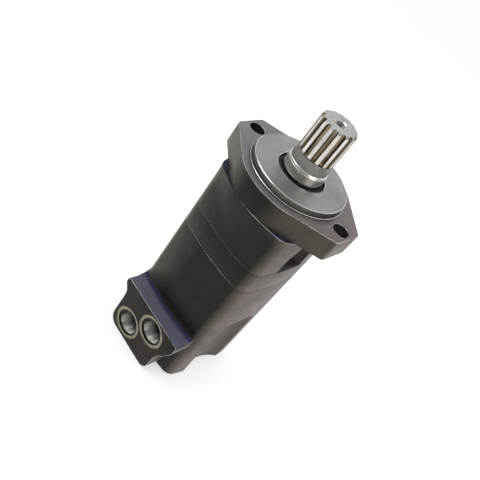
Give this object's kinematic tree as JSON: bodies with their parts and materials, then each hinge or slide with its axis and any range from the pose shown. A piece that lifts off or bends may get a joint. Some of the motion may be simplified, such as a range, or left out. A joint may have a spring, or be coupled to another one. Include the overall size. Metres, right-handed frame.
{
  "type": "hydraulic motor",
  "caption": "Orbital disc-valve hydraulic motor with a two-bolt eared flange, raised pilot, splined output shaft, square body and staggered side ports.",
  "frame": {"origin": "centre of the flat rear end face, on the shaft axis", "axes": "+Z along the shaft towards its splined end, flange ears along X, port face towards -Y"},
  "size_m": [0.1248, 0.108, 0.2724],
  "materials": {
    "painted_casting": "semi-gloss black paint over a cast and machined surface",
    "painted_ring": "semi-gloss black paint over machined steel",
    "ground_shaft": "ground and polished, oiled in the spline grooves",
    "bearing_steel": "ground bright",
    "hardened_steel": "ground and hardened",
    "spring_steel": "plain spring steel",
    "plated_screw": "black oxide with traces of paint",
    "black_rubber": "matt moulded rubber"
  },
  "bodies": {
    "case": {"bearing_housing": "painted_casting", "valve_housing": "painted_casting", "geroler_ring": "painted_ring", "front_bearing_cup": "bearing_steel", "rear_bearing_cup": "bearing_steel", "bearing_retainer": "hardened_steel", "wear_plate": "hardened_steel", "valve_plate": "hardened_steel", "balance_ring": "hardened_steel", "seal_backup_washer": "hardened_steel", "seal_retaining_ring": "spring_steel", "dust_seal": "black_rubber", "shaft_seal": "black_rubber", "section_seal_front": "black_rubber", "section_seal_rear": "black_rubber", "balance_ring_seal": "black_rubber", "drain_plug": "plated_screw", "balance_spring_1": "spring_steel", "balance_spring_2": "spring_steel", "balance_spring_3": "spring_steel", "cap_screw_1": "plated_screw", "cap_screw_2": "plated_screw", "cap_screw_3": "plated_screw", "cap_screw_4": "plated_screw"},
    "shaft": {"output_shaft": "ground_shaft", "front_bearing_cone": "bearing_steel", "rear_bearing_cone": "bearing_steel"},
    "front_cage": {"front_bearing_rollers": "bearing_steel"},
    "rear_cage": {"rear_bearing_rollers": "bearing_steel"},
    "orbit_spacer": {"drive_spacer": "hardened_steel"},
    "star": {"rotor_star": "hardened_steel"},
    "main_link": {"drive_link": "hardened_steel"},
    "valve_link": {"valve_drive_link": "hardened_steel"},
    "valve": {"disc_valve": "hardened_steel"},
    "roller_1": {"geroler_roller_1": "hardened_steel"},
    "roller_2": {"geroler_roller_2": "hardened_steel"},
    "roller_3": {"geroler_roller_3": "hardened_steel"},
    "roller_4": {"geroler_roller_4": "hardened_steel"},
    "roller_5": {"geroler_roller_5": "hardened_steel"},
    "roller_6": {"geroler_roller_6": "hardened_steel"},
    "roller_7": {"geroler_roller_7": "hardened_steel"}
  },
  "joints": [
    {"name": "shaft_spin", "type": "hinge", "parent": "case", "child": "shaft", "pos_m": [0, 0, 0.217], "axis": [0, 0, 1], "continuous": true},
    {"name": "front_cage_spin", "type": "hinge", "parent": "case", "child": "front_cage", "pos_m": [0, 0, 0.194], "axis": [0, 0, 1], "continuous": true},
    {"name": "rear_cage_spin", "type": "hinge", "parent": "case", "child": "rear_cage", "pos_m": [0, 0, 0.17], "axis": [0, 0, 1], "continuous": true},
    {"name": "star_orbit", "type": "hinge", "parent": "case", "child": "orbit_spacer", "pos_m": [0, 0, 0.1432], "axis": [0, 0, 1], "continuous": true},
    {"name": "star_spin", "type": "hinge", "parent": "orbit_spacer", "child": "star", "pos_m": [0.0025, 0, 0.1448], "axis": [0, 0, 1], "continuous": true},
    {"name": "drive_link_spin", "type": "hinge", "parent": "orbit_spacer", "child": "main_link", "pos_m": [0, 0, 0.195], "axis": [-0.0549, 0, 0.9985], "continuous": true},
    {"name": "valve_link_spin", "type": "hinge", "parent": "orbit_spacer", "child": "valve_link", "pos_m": [0, 0, 0.106], "axis": [0.0769, 0, 0.997], "continuous": true},
    {"name": "valve_spin", "type": "hinge", "parent": "case", "child": "valve", "pos_m": [0, 0, 0.112], "axis": [0, 0, 1], "continuous": true},
    {"name": "roller_1_spin", "type": "hinge", "parent": "case", "child": "roller_1", "pos_m": [0.0255, 0, 0.1448], "axis": [0, 0, 1], "continuous": true},
    {"name": "roller_2_spin", "type": "hinge", "parent": "case", "child": "roller_2", "pos_m": [0.0159, 0.01994, 0.1448], "axis": [0, 0, 1], "continuous": true},
    {"name": "roller_3_spin", "type": "hinge", "parent": "case", "child": "roller_3", "pos_m": [-0.00567, 0.02486, 0.1448], "axis": [0, 0, 1], "continuous": true},
    {"name": "roller_4_spin", "type": "hinge", "parent": "case", "child": "roller_4", "pos_m": [-0.02297, 0.01106, 0.1448], "axis": [0, 0, 1], "continuous": true},
    {"name": "roller_5_spin", "type": "hinge", "parent": "case", "child": "roller_5", "pos_m": [-0.02297, -0.01106, 0.1448], "axis": [0, 0, 1], "continuous": true},
    {"name": "roller_6_spin", "type": "hinge", "parent": "case", "child": "roller_6", "pos_m": [-0.00567, -0.02486, 0.1448], "axis": [0, 0, 1], "continuous": true},
    {"name": "roller_7_spin", "type": "hinge", "parent": "case", "child": "roller_7", "pos_m": [0.0159, -0.01994, 0.1448], "axis": [0, 0, 1], "continuous": true}
  ],
  "couplings": [
    {"joint": "front_cage_spin", "follows": "shaft_spin", "ratio": 0.445},
    {"joint": "rear_cage_spin", "follows": "shaft_spin", "ratio": 0.445},
    {"joint": "star_orbit", "follows": "shaft_spin", "ratio": -6},
    {"joint": "star_spin", "follows": "shaft_spin", "ratio": 7},
    {"joint": "drive_link_spin", "follows": "shaft_spin", "ratio": 7},
    {"joint": "valve_link_spin", "follows": "shaft_spin", "ratio": 7},
    {"joint": "valve_spin", "follows": "shaft_spin", "ratio": 1},
    {"joint": "roller_1_spin", "follows": "shaft_spin", "ratio": -4.1},
    {"joint": "roller_2_spin", "follows": "shaft_spin", "ratio": -4.1},
    {"joint": "roller_3_spin", "follows": "shaft_spin", "ratio": -4.1},
    {"joint": "roller_4_spin", "follows": "shaft_spin", "ratio": -4.1},
    {"joint": "roller_5_spin", "follows": "shaft_spin", "ratio": -4.1},
    {"joint": "roller_6_spin", "follows": "shaft_spin", "ratio": -4.1},
    {"joint": "roller_7_spin", "follows": "shaft_spin", "ratio": -4.1}
  ]
}
